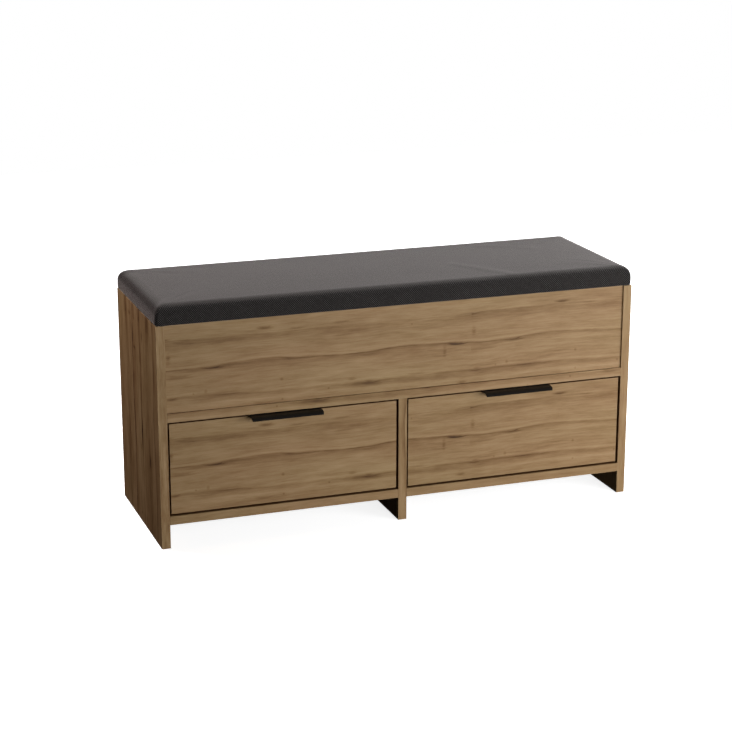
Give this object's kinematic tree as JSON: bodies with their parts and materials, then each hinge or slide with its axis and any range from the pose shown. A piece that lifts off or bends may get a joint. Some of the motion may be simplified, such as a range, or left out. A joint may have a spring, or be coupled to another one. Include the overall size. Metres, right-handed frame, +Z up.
{
  "type": "entryway storage bench",
  "caption": "Low storage bench with a padded lift-up seat over one compartment and two drawers side by side on telescopic runners",
  "frame": {"origin": "on the floor, at the middle of the bench's bounding box", "axes": "+X along the bench, to the right seen from the front; +Y from the drawers to the back; +Z up"},
  "size_m": [1.022, 0.367, 0.5],
  "materials": {
    "oak_board": "oak-decor melamine on chipboard, open-grain matt, long grain with knots",
    "hardboard": "thin hardboard, smooth matt face",
    "lid_chipboard": "raw chipboard, fine flake, matt",
    "drawer_white": "warm white melamine, satin",
    "seat_fabric": "charcoal woven upholstery, fine diagonal weave with a soft sheen",
    "seat_foam": "cut polyurethane foam",
    "pull_metal": "black powder coat, fine satin texture",
    "zinc_steel": "zinc-plated pressed steel, satin",
    "strut_black": "black enamel, semi-gloss",
    "strut_rod": "polished chrome"
  },
  "bodies": {
    "carcass": {"left_side_panel": "oak_board", "right_side_panel": "oak_board", "centre_divider": "oak_board", "storage_floor": "oak_board", "left_bottom_panel": "oak_board", "right_bottom_panel": "oak_board", "upper_front_panel": "oak_board", "back_rail": "oak_board", "back_panel": "hardboard", "left_front_cam_lock": "zinc_steel", "left_rail_cam_lock": "zinc_steel", "right_front_cam_lock": "zinc_steel", "right_rail_cam_lock": "zinc_steel", "left_hinge_body_leaf": "zinc_steel", "left_hinge_pin": "zinc_steel", "left_strut_side_bracket": "zinc_steel", "right_hinge_body_leaf": "zinc_steel", "right_hinge_pin": "zinc_steel", "right_strut_side_bracket": "zinc_steel", "left_drawer_left_runner_cabinet": "zinc_steel", "left_drawer_right_runner_cabinet": "zinc_steel", "right_drawer_left_runner_cabinet": "zinc_steel", "right_drawer_right_runner_cabinet": "zinc_steel"},
    "lid": {"lid_board": "lid_chipboard", "seat_foam": "seat_foam", "seat_cover": "seat_fabric", "left_hinge_lid_leaf": "zinc_steel", "left_strut_lid_bracket": "zinc_steel", "right_hinge_lid_leaf": "zinc_steel", "right_strut_lid_bracket": "zinc_steel"},
    "left_strut_cylinder": {"left_strut_cylinder": "strut_black"},
    "left_strut_rod": {"left_strut_rod": "strut_rod"},
    "right_strut_cylinder": {"right_strut_cylinder": "strut_black"},
    "right_strut_rod": {"right_strut_rod": "strut_rod"},
    "left_drawer": {"left_drawer_front": "oak_board", "left_drawer_left_side": "drawer_white", "left_drawer_right_side": "drawer_white", "left_drawer_back": "drawer_white", "left_drawer_base": "drawer_white", "left_drawer_pull": "pull_metal", "left_pull_left_screw": "zinc_steel", "left_pull_right_screw": "zinc_steel", "left_drawer_left_runner_drawer": "zinc_steel", "left_drawer_right_runner_drawer": "zinc_steel"},
    "left_runner_middles": {"left_drawer_left_runner_middle": "zinc_steel", "left_drawer_right_runner_middle": "zinc_steel"},
    "right_drawer": {"right_drawer_front": "oak_board", "right_drawer_left_side": "drawer_white", "right_drawer_right_side": "drawer_white", "right_drawer_back": "drawer_white", "right_drawer_base": "drawer_white", "right_drawer_pull": "pull_metal", "right_pull_left_screw": "zinc_steel", "right_pull_right_screw": "zinc_steel", "right_drawer_left_runner_drawer": "zinc_steel", "right_drawer_right_runner_drawer": "zinc_steel"},
    "right_runner_middles": {"right_drawer_left_runner_middle": "zinc_steel", "right_drawer_right_runner_middle": "zinc_steel"}
  },
  "joints": [
    {"name": "lid_hinge", "type": "hinge", "parent": "carcass", "child": "lid", "pos_m": [0, 0.18, 0.455], "axis": [-1, 0, 0], "range_deg": [0, 85]},
    {"name": "left_strut_pivot", "type": "hinge", "parent": "carcass", "child": "left_strut_cylinder", "pos_m": [0, 0.1068, 0.3352], "axis": [-1, 0, 0], "range_deg": [0, 3]},
    {"name": "left_strut_stroke", "type": "slide", "parent": "left_strut_cylinder", "child": "left_strut_rod", "axis": [0, 0.2795, 0.9601], "range_m": [0, 0.0605]},
    {"name": "right_strut_pivot", "type": "hinge", "parent": "carcass", "child": "right_strut_cylinder", "pos_m": [0, 0.1068, 0.3352], "axis": [-1, 0, 0], "range_deg": [0, 3]},
    {"name": "right_strut_stroke", "type": "slide", "parent": "right_strut_cylinder", "child": "right_strut_rod", "axis": [0, 0.2795, 0.9601], "range_m": [0, 0.0605]},
    {"name": "left_drawer_slide", "type": "slide", "parent": "carcass", "child": "left_drawer", "axis": [0, -1, 0], "range_m": [0, 0.27]},
    {"name": "left_runner_slide", "type": "slide", "parent": "carcass", "child": "left_runner_middles", "axis": [0, -1, 0], "range_m": [0, 0.136]},
    {"name": "right_drawer_slide", "type": "slide", "parent": "carcass", "child": "right_drawer", "axis": [0, -1, 0], "range_m": [0, 0.27]},
    {"name": "right_runner_slide", "type": "slide", "parent": "carcass", "child": "right_runner_middles", "axis": [0, -1, 0], "range_m": [0, 0.136]}
  ],
  "couplings": [
    {"joint": "left_strut_pivot", "follows": "lid_hinge", "ratio": 0.033263},
    {"joint": "left_strut_stroke", "follows": "lid_hinge", "m_per_rad": 0.040412},
    {"joint": "right_strut_pivot", "follows": "lid_hinge", "ratio": 0.033263},
    {"joint": "right_strut_stroke", "follows": "lid_hinge", "m_per_rad": 0.040412},
    {"joint": "left_runner_slide", "follows": "left_drawer_slide", "ratio": 0.5},
    {"joint": "right_runner_slide", "follows": "right_drawer_slide", "ratio": 0.5}
  ]
}
